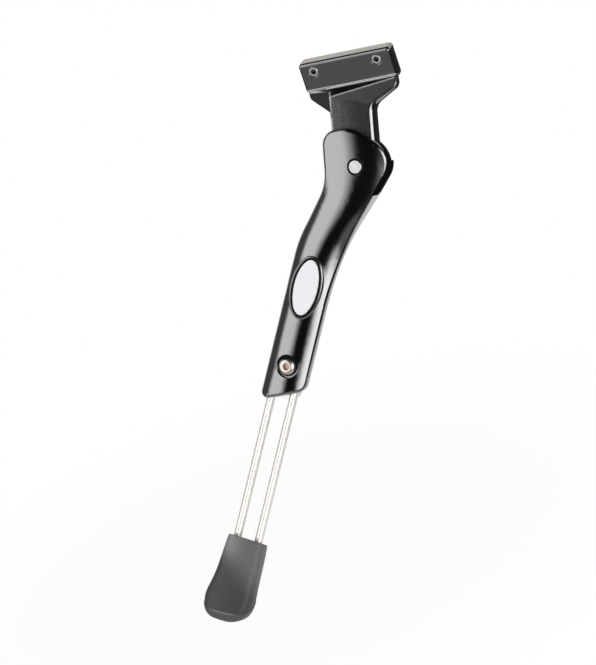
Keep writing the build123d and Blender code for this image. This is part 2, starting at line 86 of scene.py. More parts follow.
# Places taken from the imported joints: the pivot pin's axis, the plane of the leg and the line of the rod.
fold = next(joint for joint in frame["joints"] if joint["name"] == "leg_fold")
slide = next(joint for joint in frame["joints"] if joint["name"] == "length_adjust")
pivot = Vector(fold["pos_m"])
leg_out = Vector(fold["axis"]).normalized()
leg_up = leg_out.cross(rear)
rod_down = Vector(slide["axis"]).normalized()
rod_across = leg_out.cross(rod_down)

Section = namedtuple("Section", "down front back depth")

# Sections of the foot from its top to its toe: distance down, front side, rear side and half depth. The rows
# are written in millimetres and kept in metres.
foot_sections = [Section(*(0.001 * size for size in row)) for row in (
    (-1.4, -11.8, 12.2, 6.9),
    (-0.6, -12.2, 12.6, 7.3),
    (10.0, -13.1, 12.9, 7.6),
    (20.0, -13.9, 12.9, 8.1),
    (26.0, -14.8, 13.0, 8.5),
    (32.0, -16.2, 13.2, 8.8),
    (37.0, -17.5, 13.4, 9.0),
    (41.5, -17.4, 12.9, 9.2),
    (45.6, -16.4, 11.6, 9.2),
    (48.7, -14.4, 8.6, 8.8),
    (50.6, -11.6, 4.4, 7.8),
    (51.3, -8.6, 0.6, 5.8),
)]
sole_section = foot_sections[8]

Softbox = namedtuple("Softbox", "turns lifts")

# Light panels. Each starts, is full, fades and ends at these angles in degrees, round the stand and upwards.
left_panel = Softbox((-69, -57, -34, -14), (-8, 4, 58, 65))
right_panel = Softbox((3, 20, 60, 68), (-15, -3, 17, 29))
side_panel = Softbox((-126, -114, -69, -57), (-14, -2, 44, 56))
back_wall_lifts = (-13, -1, 30, 42)
floor_ahead_turns = (-80, -60, 10, 30)

# Angles in degrees: how far the two front panels lean, where their lean ends, and where the light from below
# ends.
panel_lean = 4
lean_lifts = (20, 30)
below_lifts = (-12, -5)

# How far a view goes to the back where the wall behind starts, and upwards where the fill starts.
back_wall_depth = (0.0, 0.3)
fill_height = (0.3, 0.9)

# Middle of the round floor from the foot, to the rear and inward, and where its shade fades, in metres.
floor_shift = (-0.02, 0.11)
floor_fade = (0.12, 0.3)


def middle(node):
    """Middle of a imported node's box."""
    low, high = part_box(node)
    return (low + high) / 2


def reach(node, direction):
    """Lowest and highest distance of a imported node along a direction."""
    places = [point.co.dot(direction) for point in nodes[node].data.vertices]
    return min(places), max(places)


def hexagon(flats):
    """Radius through the corners of a hexagon, from its width across the flats."""
    return flats / 2 / cos(radians(30))


class StandSizes(bpy.types.PropertyGroup):
    """Sizes of the pieces that are modelled here."""

    smooth: FloatProperty(
        name="Smooth angle", description="Faces that meet at less than this shade as one",
        default=radians(35), subtype="ANGLE")
    screw_spacing: FloatProperty(
        name="Screw spacing", description="Distance between the two head screws",
        default=0.040, unit="LENGTH")
    screw_width: FloatProperty(
        name="Screw width", description="Diameter of a head screw",
        default=0.006, unit="LENGTH")
    screw_socket: FloatProperty(
        name="Screw socket", description="Width of a head screw's socket across its flats",
        default=0.003, unit="LENGTH")
    screw_pitch: FloatProperty(
        name="Screw pitch", description="Pitch of the thread behind the plate",
        default=0.001, unit="LENGTH")
    screw_past: FloatProperty(
        name="Shank past plate", description="How far the plain shank of a head screw goes past the plate",
        default=0.0004, unit="LENGTH")
    screw_rim: FloatProperty(
        name="Screw rim", description="Width of the bevel round a head screw's face",
        default=0.00045, unit="LENGTH")
    socket_rim: FloatProperty(
        name="Socket rim", description="Width of the bevel round a head screw's socket",
        default=0.0001, unit="LENGTH")
    thread_root: FloatProperty(
        name="Thread root", description="Width at the root of the thread as a share of the screw's width",
        default=0.8, subtype="FACTOR")
    thread_crest: FloatProperty(
        name="Thread crest", description="Width at the crest of the thread as a share of the screw's width",
        default=0.985, subtype="FACTOR")
    thread_tooth: FloatProperty(
        name="Thread tooth", description="Radius of the thread's section as a share of its pitch",
        default=0.52, subtype="FACTOR")
    clamp_socket: FloatProperty(
        name="Clamp socket", description="Width of the clamp screw's socket across its flats",
        default=0.004, unit="LENGTH")
    block_end: FloatProperty(
        name="Block end", description="How far the clamp block is drawn out of the leg",
        default=0.0032, unit="LENGTH")
    block_part: FloatProperty(
        name="Block part", description="Length of the clamp block's end that is drawn out",
        default=0.008, unit="LENGTH")
    foot_slope: FloatProperty(
        name="Foot slope", description="How far the foot's top slopes down to its back",
        default=radians(12), subtype="ANGLE")
    foot_corner: FloatProperty(
        name="Foot corner", description="Bevel of the foot's corners as a share of its half depth",
        default=0.42, subtype="FACTOR")
    sole_line: FloatProperty(
        name="Sole line", description="From the top of the foot to the upper edge of its sole in front",
        default=0.0458, unit="LENGTH")
    sole_slope: FloatProperty(
        name="Sole slope", description="Rise of the sole's upper edge towards the back",
        default=0.6)
    sole_lean: FloatProperty(
        name="Sole lean", description="Rise of the sole's upper edge from side to side",
        default=0.06)
    sole_step: FloatProperty(
        name="Sole step", description="How far the sole stands out from the foot",
        default=0.0003, unit="LENGTH")
    spring_wire: FloatProperty(
        name="Spring wire", description="Thickness of the hold spring's wire",
        default=0.0013, unit="LENGTH")
    spring_width: FloatProperty(
        name="Spring width", description="Outside diameter of the hold spring",
        default=0.0076, unit="LENGTH")
    spring_length: FloatProperty(
        name="Spring length", description="Length of the hold spring with the leg down",
        default=0.022, unit="LENGTH")
    spring_lean: FloatProperty(
        name="Spring lean", description="Lean of the hold spring in the leg's plane",
        default=radians(52), subtype="ANGLE")
    spring_turns: IntProperty(
        name="Spring turns", description="Turns of the hold spring",
        default=6)
    spring_keep: FloatProperty(
        name="Folded spring", description="Share of its length that the spring keeps with the leg folded",
        default=0.68, subtype="FACTOR")


class StandColours(bpy.types.PropertyGroup):
    """Colours of the finishes."""

    paint: FloatVectorProperty(
        name="Paint", description="Gloss black of the castings",
        default=(0.002, 0.002, 0.0024), subtype="COLOR")
    # Painted highlight: pale grey of the head's edge lines and of the neck's paler front part, which stand in
    # for light.
    painted_highlight: FloatVectorProperty(
        name="Worn paint", description="Grey of rubbed edges on the head",
        default=(0.68, 0.68, 0.665), subtype="COLOR")
    rubber: FloatVectorProperty(
        name="Rubber", description="Dark grey of the foot",
        default=(0.026, 0.026, 0.027), subtype="COLOR")
    # Painted light: paler grey for the painted sheen on the foot's top, the painted highlight on its sole's
    # ledge and the painted reflection on its sole.
    painted_light_grey: FloatVectorProperty(
        name="Rubber bloom", description="Paler bloom on the upper part of the foot",
        default=(0.13, 0.13, 0.133), subtype="COLOR")
    plated_steel: FloatVectorProperty(
        name="Plated steel", description="Head screws, spring and block",
        default=(0.66, 0.65, 0.635), subtype="COLOR")
    peened_steel: FloatVectorProperty(
        name="Peened steel", description="Pivot pin",
        default=(0.52, 0.515, 0.505), subtype="COLOR")
    clamp_steel: FloatVectorProperty(
        name="Clamp steel", description="Clamp screw",
        default=(0.50, 0.465, 0.425), subtype="COLOR")
    # Painted shade: dark colour inside the head screws' sockets.
    painted_socket_shade: FloatVectorProperty(
        name="Grease", description="Inside of the head screws' sockets",
        default=(0.02, 0.0195, 0.019), subtype="COLOR")
    # Brown inside the clamp screw's socket.
    clamp_socket_brown: FloatVectorProperty(
        name="Rust", description="Inside of the clamp screw's socket",
        default=(0.32, 0.215, 0.18), subtype="COLOR")
    stainless: FloatVectorProperty(
        name="Stainless wire", description="Satin drawn rod",
        default=(0.72, 0.70, 0.665), subtype="COLOR")
    badge: FloatVectorProperty(
        name="Badge", description="White lacquer of the badge",
        default=(0.74, 0.75, 0.77), subtype="COLOR")


class Studio(bpy.types.PropertyGroup):
    """Camera, light and floor."""

    turn: FloatProperty(
        name="Turn", description="How far the camera stands round to the rear",
        default=radians(23), subtype="ANGLE")
    height: FloatProperty(
        name="Height", description="How far the camera looks down",
        default=radians(21.6), subtype="ANGLE")
    roll: FloatProperty(
        name="Roll", description="Tilt of the picture",
        default=radians(19), subtype="ANGLE")
    distance: FloatProperty(
        name="Distance", description="From the camera to the stand",
        default=2.5, unit="LENGTH")
    aim: FloatVectorProperty(
        name="Aim", description="Point in the middle of the picture",
        default=(-0.0508, -0.0878, -0.1296), subtype="TRANSLATION", unit="LENGTH")
    lens: FloatProperty(
        name="Lens", description="Focal length",
        default=230.08, unit="CAMERA")
    left_light: FloatProperty(
        name="Left panel", description="Strength of the light panel on the left",
        default=3.0)
    right_light: FloatProperty(
        name="Right panel", description="Strength of the light panel on the right",
        default=5.5)
    side_light: FloatProperty(
        name="Side panel", description="Strength of the light panel beside the stand",
        default=0.2)
    fill_light: FloatProperty(
        name="Fill", description="Strength of the light from above on matt surfaces",
        default=0.6)
    room_light: FloatProperty(
        name="Room", description="Strength of the light from all round",
        default=0.006)
    low_light: FloatProperty(
        name="Low light", description="Strength of the light from below",
        default=0.04)
    floor_light: FloatProperty(
        name="Floor light", description="Added strength of the light from below in front of the stand",
        default=0.38)
    wall_colour: FloatVectorProperty(
        name="Wall", description="Warm white of the light from behind",
        default=(1, 0.95, 0.89), subtype="COLOR")
    floor_colour: FloatVectorProperty(
        name="Floor", description="Pale grey of the floor's own shade",
        default=(0.9, 0.9, 0.89), subtype="COLOR")
    matt_cut: FloatProperty(
        name="Matt cut", description="How much less of the light reaches matt surfaces",
        default=0.3, subtype="FACTOR")
    floor_radius: FloatProperty(
        name="Floor radius", description="Radius of the round floor",
        default=0.31, unit="LENGTH")
    drop: FloatProperty(
        name="Drop", description="From the foot down to the floor, so that the rod can slide out",
        default=0.018, unit="LENGTH")
    shadow: FloatProperty(
        name="Shadow", description="How much of the floor's own shade shows",
        default=0.08, subtype="FACTOR")


class Wire:
    """Output of a shader node. Arithmetic on it adds Math nodes."""

    def __init__(self, finish, socket):
        self.finish = finish
        self.socket = socket

    def maths(self, operation, first, second):
        """Math node on two values."""
        return self.finish.node("ShaderNodeMath", {"operation": operation}, {0: first, 1: second})

    def __add__(self, other):
        return self.maths("ADD", self, other)

    def __radd__(self, other):
        return self.maths("ADD", other, self)

    def __sub__(self, other):
        return self.maths("SUBTRACT", self, other)

    def __rsub__(self, other):
        return self.maths("SUBTRACT", other, self)

    def __mul__(self, other):
        return self.maths("MULTIPLY", self, other)

    def __rmul__(self, other):
        return self.maths("MULTIPLY", other, self)

    def __truediv__(self, other):
        return self.maths("DIVIDE", self, other)

    def __rtruediv__(self, other):
        return self.maths("DIVIDE", other, self)


class Finish:
    """Node tree of a material or of the world."""

    def __init__(self, owner):
        owner.use_nodes = True
        self.tree = owner.node_tree
        self.tree.nodes.clear()

    def node(self, kind, settings=None, sockets=None, output=0):
        """Adds a node, sets it up and returns one of its outputs, or several."""
        made = self.tree.nodes.new(kind)
        for name, value in (settings or {}).items():
            setattr(made, name, value)
        for name, value in (sockets or {}).items():
            if isinstance(value, Wire):
                self.tree.links.new(value.socket, made.inputs[name])
            else:
                made.inputs[name].default_value = value
        if isinstance(output, tuple):
            return [Wire(self, made.outputs[name]) for name in output]
        return Wire(self, made.outputs[output]) if made.outputs else None

    def place(self):
        """Place on the piece, in metres."""
        return self.node("ShaderNodeTexCoord", output="Object")

    def facing(self):
        """Way that the surface faces."""
        return self.node("ShaderNodeTexCoord", output="Normal")

    def noise(self, place, scale, detail=2.0):
        """Soft random value between 0 and 1."""
        return self.node("ShaderNodeTexNoise", sockets={"Vector": place, "Scale": scale, "Detail": detail})

    def stretch(self, place, scales, turn):
        """Place turned and scaled along its axes, so that a pattern runs one way."""
        return self.node("ShaderNodeMapping", {"vector_type": "TEXTURE"},
                         {"Vector": place, "Rotation": turn, "Scale": scales})

    def vectors(self, operation, first, second, output="Value"):
        """Vector Math node."""
        second = second if isinstance(second, Wire) else tuple(second)
        return self.node("ShaderNodeVectorMath", {"operation": operation}, {0: first, 1: second}, output)

    def dot(self, first, second):
        """How far one direction goes along another."""
        return self.vectors("DOT_PRODUCT", first, second)

    def along(self, place, start, direction):
        """Distance of a place from a point along a direction."""
        return self.dot(self.vectors("SUBTRACT", place, start, "Vector"), direction)

    def off(self, place, start, direction):
        """Distance of a place from the line through a point along a direction."""
        moved = self.vectors("SUBTRACT", place, start, "Vector")
        return self.vectors("LENGTH", self.vectors("CROSS_PRODUCT", moved, direction, "Vector"), origin)

    def rise(self, value, low, high):
        """Smooth step from 0 below one value to 1 above another."""
        return self.node("ShaderNodeMapRange", {"interpolation_type": "SMOOTHSTEP"},
                         {"Value": value, "From Min": low, "From Max": high})

    def fall(self, value, low, high):
        """Smooth step from 1 below one value to 0 above another."""
        return 1 - self.rise(value, low, high)

    def band(self, value, start, full, fade, end):
        """Rises from 0 to 1 between two values and falls back to 0 between two others."""
        return self.rise(value, start, full) * self.fall(value, fade, end)

    def window(self, value, low, high, soft):
        """1 between two values and 0 outside them, with soft ends."""
        return self.band(value, low - soft, low + soft, high - soft, high + soft)

    def either(self, first, second):
        """Larger of two values."""
        return first.maths("MAXIMUM", first, second)

    def shade(self, share, first, second):
        """Colour between two colours."""
        return self.node("ShaderNodeMix", {"data_type": "RGBA", "clamp_factor": False},
                         {0: share, 6: first, 7: second}, 2)

    def relief(self, height, depth, strength=1.0, normal=None):
        """Normal of a surface with a fine relief of a given depth."""
        sockets = {"Height": height, "Distance": depth, "Strength": strength}
        return self.node("ShaderNodeBump", sockets={**sockets, "Normal": normal} if normal else sockets)

    def surface(self, **sockets):
        """Principled shader."""
        named = {name.replace("_", " ").title().replace("Ior", "IOR"): value
                 for name, value in sockets.items()}
        return self.node("ShaderNodeBsdfPrincipled", sockets=named)

    def blend(self, share, first, second):
        """One shader that goes over into another."""
        return self.node("ShaderNodeMixShader", sockets={0: share, 1: first, 2: second})

    def end(self, shader, kind="ShaderNodeOutputMaterial"):
        """Links a shader to the output."""
        self.node(kind, sockets={"Surface": shader})


def begin(name):
    """New material, its node tree and the place on the piece."""
    material = bpy.data.materials.new(name)
    finish = Finish(material)
    return material, finish, finish.place()


def opaque(colour, level=1.0):
    """Colour with a share of its strength, as a shader takes it."""
    return (colour[0] * level, colour[1] * level, colour[2] * level, 1)


def matt_painted_shade(finish, place, colour):
    """Duller matt black with little reflection, which paints shade into recesses."""
    speck = finish.noise(place, 900, 3)
    return finish.surface(
        base_color=finish.shade(speck, opaque(colour, 0.8), opaque(colour, 1.6)),
        roughness=0.55 + speck * 0.2,
        specular_ior_level=0.12)


# Limits of the places on the leg where a matt black paints shade. Each pair is where a finish starts to change
# and where it has changed.
# Depths and radii, and half the width and height of the oval, are in metres.
fork_depth = (0.0040, 0.0046)
fork_radius = (0.0185, 0.0200)
fork_facing = (-0.8, -0.6)
pin_ring = (0.0051, 0.0054)
bore_radius = (0.0064, 0.0068)
bore_depth = (0.0012, 0.0016)
oval_width = 0.0090
oval_height = 0.0186
oval_edge = (0.98, 1.02)
oval_depth = (0.0045, 0.0050)


def leg_paint(colour):
    """Gloss black paint with a faint orange peel, and a matt black that paints shade in the fork, the seats
    and the bore.
    """
    material, finish, place = begin("leg_gloss_black")
    cloud = finish.noise(place, 160)
    peel = finish.noise(place, 1400, 3)
    gloss = finish.surface(
        base_color=finish.shade(cloud, opaque(colour, 0.8), opaque(colour, 1.3)),
        roughness=0.1 + cloud * 0.04,
        specular_ior_level=1.0,
        coat_weight=1.0,
        coat_roughness=0.08,
        coat_ior=1.8,
        normal=finish.relief(peel, 0.00002, 0.2))
    depth = finish.along(place, pivot, leg_out)
    away = finish.off(place, pivot, leg_out)
    fork = finish.fall(depth, *fork_depth) * finish.fall(away, *fork_radius)
    fork = fork * finish.rise(finish.dot(finish.facing(), leg_out), *fork_facing)
    ring = finish.fall(away, *pin_ring)
    bore = finish.fall(finish.off(place, middle("clamp_screw"), leg_out), *bore_radius)
    bore = bore * finish.rise(depth, *bore_depth)
    wide = finish.along(place, middle("badge"), rod_across) / oval_width
    tall = finish.along(place, middle("badge"), rod_down) / oval_height
    oval = finish.fall(wide * wide + tall * tall, *oval_edge) * finish.rise(depth, *oval_depth)
    # Painted shade: the fork, the pin's seat, the clamp screw's bore and the ring round the badge take the
    # duller matt black.
    painted_shade = finish.either(finish.either(fork, ring), finish.either(bore, oval))
    finish.end(finish.blend(painted_shade, gloss, matt_painted_shade(finish, place, colour)))
    return material


# Limits of the finishes on the head, in pairs of the same kind, but plate_edge_facing ends with the width of
# its soft ends. Distances are in metres. The other limits say how far an edge bends or faces one way.
plate_bottom = (-0.0135, -0.0125)
plate_front = (0.0084, 0.0088)
plate_edge_way = (0.1, 0, -0.995)
plate_edge_facing = (0.48, 0.80, 0.05)
edge_radius = 0.0018
corner_bend = (0.006, 0.014)
corner_aside = (-0.0120, -0.0115)
corner_height = (0.0485, 0.0495)
corner_depth = (-0.0030, -0.0020)
corner_upward = (0.16, 0.23)
corner_face_upward = (-0.30, -0.15)
corner_rearward = (0.06, 0.12)
neck_facing = (0.9895, 0.994)
neck_height = (0.046, 0.048)
neck_depth = (0.0034, 0.0038)
neck_painted_light = (-0.012, 0.008)
gusset_aside = (-0.0105, -0.0095)
gusset_height = (0.030, 0.032)


def head_paint(colour, painted_highlight):
    """Gloss black paint with softened edges, pale grey painted highlights along the plate's edges and the
    neck's creases, a neck painted paler towards the bicycle's front, and a coarse cast grain on the neck and
    front gusset.
    """
    material, finish, place = begin("head_gloss_black")
    facing = finish.facing()
    cloud = finish.noise(place, 220)
    grain = finish.noise(place, 800, 4)
    soft = finish.node("ShaderNodeBevel", {"samples": 8}, {"Radius": edge_radius})
    level = finish.along(place, origin, up)
    aside = finish.along(place, pivot, rear)
    height = finish.along(place, pivot, leg_up)
    depth = finish.along(place, pivot, leg_out)
    # Painted highlight: pale grey along the plate's front edges.
    edge = finish.window(finish.dot(facing, plate_edge_way), *plate_edge_facing)
    edge = edge * finish.rise(level, *plate_bottom)
    edge = edge * finish.rise(finish.along(place, origin, -inward), *plate_front)
    # Painted highlight: pale grey along the creases round the neck and under the plate.
    corner = finish.rise(1 - finish.dot(soft, facing), *corner_bend)
    corner = corner * finish.rise(aside, *corner_aside) * finish.rise(depth, *corner_depth)
    corner = corner * finish.fall(height, *corner_height)
    corner = corner * finish.rise(finish.dot(soft, up), *corner_upward)
    corner = corner * finish.rise(finish.dot(facing, up), *corner_face_upward)
    corner = corner * finish.fall(finish.dot(soft, rear), *corner_rearward)
    gloss = finish.surface(
        base_color=finish.shade(finish.either(edge, corner * 0.7), opaque(colour, 1.2), opaque(painted_highlight)),
        roughness=0.12 + cloud * 0.05,
        specular_ior_level=1.0,
        coat_weight=1.0,
        coat_roughness=0.1,
        coat_ior=1.8,
        normal=finish.relief(grain, 0.00001, 0.2, soft))
    neck = finish.rise(finish.dot(soft, leg_out), *neck_facing)
    neck = neck * finish.fall(height, *neck_height) * finish.rise(depth, *neck_depth)
    # Painted light: the neck turns paler towards the bicycle's front, flecked by the grain.
    painted_light_front = neck * finish.fall(aside, *neck_painted_light)
    rough = finish.surface(
        base_color=finish.shade(painted_light_front * grain, opaque(colour, 1.2), opaque(painted_highlight, 0.22)),
        roughness=0.42 + grain * 0.16,
        specular_ior_level=0.45,
        normal=finish.relief(grain, 0.0012, 1.0, soft))
    gusset = finish.fall(aside, *gusset_aside) * finish.rise(height, *gusset_height)
    gusset = gusset * finish.fall(level, *plate_bottom)
    finish.end(finish.blend(finish.either(neck, gusset), gloss, rough))
    return material


def plated_steel(colour, dents=0.0):
    """Plated steel with fine turning marks, and with hammer dents where it is peened."""
    material, finish, place = begin("peened_steel" if dents else "plated_steel")
    cloud = finish.noise(place, 500)
    marks = finish.noise(place, 5000, 3)
    finish.end(finish.surface(
        base_color=finish.shade(cloud, opaque(colour, 0.85), opaque(colour, 1.1)),
        metallic=1.0,
        roughness=0.28 + marks * 0.16,
        normal=finish.relief(marks * 0.1 + cloud, 0.00002 + dents, 0.3)))
    return material


# Bright lip of a socket and the soft edge of its inner colour, in metres.
socket_lip = 0.0003
socket_soft = 0.0001


def socket_steel(colour, inner, faces, into, width, deep):
    """Plated steel of socket screws, of another colour inside their sockets."""
    material, finish, place = begin("socket_steel")
    cloud = finish.noise(place, 500)
    marks = finish.noise(place, 5000, 3)
    steel = finish.shade(cloud, opaque(colour, 0.85), opaque(colour, 1.1))
    for face in faces:
        inside = finish.fall(finish.off(place, face, into), width, width + socket_soft)
        inside = inside * finish.window(finish.along(place, face, into), socket_lip, deep, socket_soft)
        steel = finish.shade(inside, steel, opaque(inner))
    finish.end(finish.surface(
        base_color=steel,
        metallic=1.0,
        roughness=0.24 + marks * 0.12,
        normal=finish.relief(marks, 0.00002, 0.3)))
    return material


def stainless(colour):
    """Satin stainless wire with faint draw marks along it."""
    material, finish, place = begin("drawn_stainless")
    turn = up.rotation_difference(rod_down).to_euler()
    lines = finish.noise(finish.stretch(place, (1, 1, 60), tuple(turn)), 2500, 2)
    cloud = finish.noise(place, 120)
    finish.end(finish.surface(
        base_color=finish.shade(lines, opaque(colour, 0.95), opaque(colour, 1.05)),
        metallic=1.0,
        roughness=0.40 + lines * 0.06 + cloud * 0.04))
    return material


# Limits of the painted sheen on the foot's top, of the painted highlight on its ledge and of the painted
# reflection on its sole, in metres. The ledge's limits end with the width of their soft ends.
painted_sheen_down = (0.010, 0.031)
painted_sheen_corner_aside = (-0.010, 0.003)
painted_sheen_corner_down = (0.008, 0.022)
ledge_low = (-0.0004, 0.0003, 0.0002)
ledge_aside = (-0.008, 0.005, 0.004)
sole_low = (0.0, 0.0004)


def foot_rubber(colour, painted_light_grey, top, line, cut):
    """Dark grey rubber with a moulded grain, and paler grey painted as a sheen towards its top, a highlight on
    its ledge and a reflection on its sole.
    """
    material, finish, place = begin("foot_rubber")
    cloud = finish.noise(place, 90, 3)
    grain = finish.noise(place, 2600, 3)
    down = finish.along(place, top, rod_down) + cloud * 0.004
    aside = finish.along(place, top, rod_across)
    # Painted sheen: paler towards the foot's top, and more so at its upper corner on one side.
    painted_sheen = finish.fall(down - aside * 0.6, *painted_sheen_down)
    corner = finish.fall(aside, *painted_sheen_corner_aside) * finish.fall(down, *painted_sheen_corner_down)
    low = finish.along(place, line, cut)
    # Painted highlight along the sole's ledge, strongest across part of its width, and a painted reflection on
    # the sole below it.
    painted_highlight = 0.4 + finish.window(aside, *ledge_aside) * 0.8
    ledge = finish.window(low, *ledge_low) * painted_highlight
    sole = finish.rise(low, *sole_low) * 0.22
    pale = finish.either(finish.either(painted_sheen * (0.7 + corner * 0.9), ledge), sole)
    finish.end(finish.surface(
        base_color=finish.shade(pale, opaque(colour), opaque(painted_light_grey)),
        roughness=0.45 + cloud * 0.1,
        specular_ior_level=0.45,
        normal=finish.relief(grain, 0.0001, 0.35)))
    return material


def white_lacquer(colour):
    """White lacquer of the badge, with a faint satin unevenness."""
    material, finish, place = begin("white_lacquer")
    cloud = finish.noise(place, 350, 3)
    finish.end(finish.surface(
        base_color=finish.shade(cloud, opaque(colour, 0.98), opaque(colour, 1.02)),
        roughness=0.26 + cloud * 0.06,
        coat_weight=0.6,
        coat_roughness=0.1))
    return material


def dress(piece, material):
    """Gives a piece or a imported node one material."""
    piece.data.materials.clear()
    piece.data.materials.append(material)


def fit(piece, name, material, node, body):
    """Names a modelled piece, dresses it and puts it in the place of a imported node."""
    piece.name = name
    dress(piece, material)
    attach(piece, body)
    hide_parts(node)


def start(add, **settings):
    """Adds a primitive with nothing else selected and returns it at the origin, its place in its mesh."""
    bpy.ops.object.select_all(action="DESELECT")
    add(**settings)
    bpy.ops.object.transform_apply(location=True, rotation=True, scale=True)
    return bpy.context.active_object


def only(context, *pieces):
    """Selects these pieces alone and makes the first of them active."""
    bpy.ops.object.select_all(action="DESELECT")
    for piece in pieces:
        piece.select_set(True)
    context.view_layer.objects.active = pieces[0]


def finish_shape(piece, **settings):
    """Adds a modifier of a given type and applies it."""
    modifier = piece.modifiers.new("shape", settings.pop("type"))
    for name, value in settings.items():
        setattr(modifier, name, value)
    bpy.ops.object.modifier_apply(modifier=modifier.name)


def choose(piece, wanted, kind="FACE"):
    """Opens a piece for editing with only the wanted faces, edges or points selected."""
    bpy.ops.object.mode_set(mode="EDIT")
    bpy.ops.mesh.select_mode(type=kind)
    bpy.ops.mesh.select_all(action="DESELECT")
    bpy.ops.object.mode_set(mode="OBJECT")
    mesh = piece.data
    for part in {"VERT": mesh.vertices, "EDGE": mesh.edges, "FACE": mesh.polygons}[kind]:
        part.select = wanted(part)
    bpy.ops.object.mode_set(mode="EDIT")


def close_up(piece):
    """Closes the open ends of a swept piece and turns its faces outwards."""
    bpy.ops.object.mode_set(mode="EDIT")
    bpy.ops.mesh.select_all(action="SELECT")
    bpy.ops.mesh.remove_doubles(threshold=0.000002)
    bpy.ops.mesh.fill_holes(sides=0)
    bpy.ops.mesh.normals_make_consistent(inside=False)
    bpy.ops.object.mode_set(mode="OBJECT")


def settle(context, piece, across, along, out, place):
    """Turns and moves a finished shape to its place, which goes into its mesh."""
    turned = Matrix((across, along, out)).transposed().to_4x4()
    piece.data.transform(Matrix.Translation(place) @ turned)
    only(context, piece)
    bpy.ops.object.shade_smooth_by_angle(angle=context.scene.stand_sizes.smooth)


class KICKSTAND_OT_stage(bpy.types.Operator):
    """Sets up the camera, the light panels and the floor"""

    bl_idname = "kickstand.stage"
    bl_label = "Studio"

    def execute(self, context):
        studio = context.scene.studio
        context.scene.view_settings.view_transform = "Standard"
        self.camera(context, studio)
        self.light(context, studio)
        self.floor(studio)
        return {"FINISHED"}

    def camera(self, context, studio):
        """Camera at the photograph's angle."""
        flat = cos(studio.height)
        back = Vector((sin(studio.turn) * flat, -cos(studio.turn) * flat, sin(studio.height)))
        level = Vector((cos(studio.turn), sin(studio.turn), 0))
        steep = back.cross(level)
        right = level * cos(studio.roll) - steep * sin(studio.roll)
        above = level * sin(studio.roll) + steep * cos(studio.roll)
        data = bpy.data.cameras.new("camera")
        data.sensor_fit = "VERTICAL"
        data.sensor_height = 36
        data.lens = studio.lens
        camera = bpy.data.objects.new("camera", data)
        context.collection.objects.link(camera)
        turned = Matrix((right, above, back)).transposed().to_4x4()
        camera.matrix_world = Matrix.Translation(Vector(studio.aim) + back * studio.distance) @ turned
        context.scene.camera = camera

    def light(self, context, studio):
        """White background, and two soft panels in front with a dark gap between them."""
        world = bpy.data.worlds.new("studio")
        context.scene.world = world
        finish = Finish(world)
        way = finish.node("ShaderNodeTexCoord", output="Generated")
        x, y, z = finish.node("ShaderNodeSeparateXYZ", sockets={0: way}, output=("X", "Y", "Z"))
        turn = x.maths("ARCTAN2", x, 0 - y)
        lift = z.maths("ARCSINE", z, 0)
        lean = turn - finish.fall(lift, *map(radians, lean_lifts)) * radians(panel_lean)
        left = self.panel(finish, left_panel, lean, lift)
        right = self.panel(finish, right_panel, lean, lift)
        side = self.panel(finish, side_panel, turn, lift)
        behind = finish.rise(y, *back_wall_depth) * finish.band(lift, *map(radians, back_wall_lifts))
        below = finish.fall(lift, *map(radians, below_lifts))
        ahead = finish.band(turn, *map(radians, floor_ahead_turns))
        seen, matt = finish.node("ShaderNodeLightPath", output=("Is Camera Ray", "Is Diffuse Ray"))
        fill = finish.rise(z, *fill_height) * matt
        room = studio.room_light + fill * studio.fill_light + side * studio.side_light + behind
        room = room + below * (studio.low_light + ahead * studio.floor_light)
        glow = room + left * studio.left_light + right * studio.right_light
        glow = glow * (1 - matt * studio.matt_cut)
        white = opaque((1, 1, 1))
        warm = finish.shade(behind, white, opaque(studio.wall_colour))
        sockets = {"Color": finish.shade(seen, warm, white), "Strength": seen + (1 - seen) * glow}
        finish.end(finish.node("ShaderNodeBackground", sockets=sockets), "ShaderNodeOutputWorld")

    def panel(self, finish, softbox, turn, lift):
        """Light panel with soft edges."""
        across = finish.band(turn, *map(radians, softbox.turns))
        return across * finish.band(lift, *map(radians, softbox.lifts))

    def floor(self, studio):
        """Pale floor under the foot that fades into the white background."""
        foot = middle("rubber_foot")
        centre = (foot.x + floor_shift[0], foot.y + floor_shift[1], cad_box[0].z - studio.drop)
        floor = start(bpy.ops.mesh.primitive_circle_add, vertices=96, radius=studio.floor_radius,
                      fill_type="NGON", location=centre)
        floor.name = "floor"
        material, finish, place = begin("pale_floor")
        near = finish.fall(finish.vectors("DISTANCE", place, centre), *floor_fade)
        camera, glossy, clear = finish.node(
            "ShaderNodeLightPath", output=("Is Camera Ray", "Is Glossy Ray", "Is Transmission Ray"))
        seen = finish.either(finish.either(camera, glossy), clear)
        matt = finish.node("ShaderNodeBsdfDiffuse", sockets={"Color": opaque(studio.floor_colour)})
        white = finish.node("ShaderNodeEmission", sockets={"Color": opaque((1, 1, 1)), "Strength": 1.0})
        finish.end(finish.blend(seen * (1 - near * studio.shadow), matt, white))
        dress(floor, material)


class KICKSTAND_OT_castings(bpy.types.Operator):
    """Paints the cast head and the cast leg"""

    bl_idname = "kickstand.castings"
    bl_label = "Head and leg"

    def execute(self, context):
        colours = context.scene.stand_colours
        dress(nodes["mount_head"], head_paint(colours.paint, colours.painted_highlight))
        dress(nodes["leg_body"], leg_paint(colours.paint))
        return {"FINISHED"}


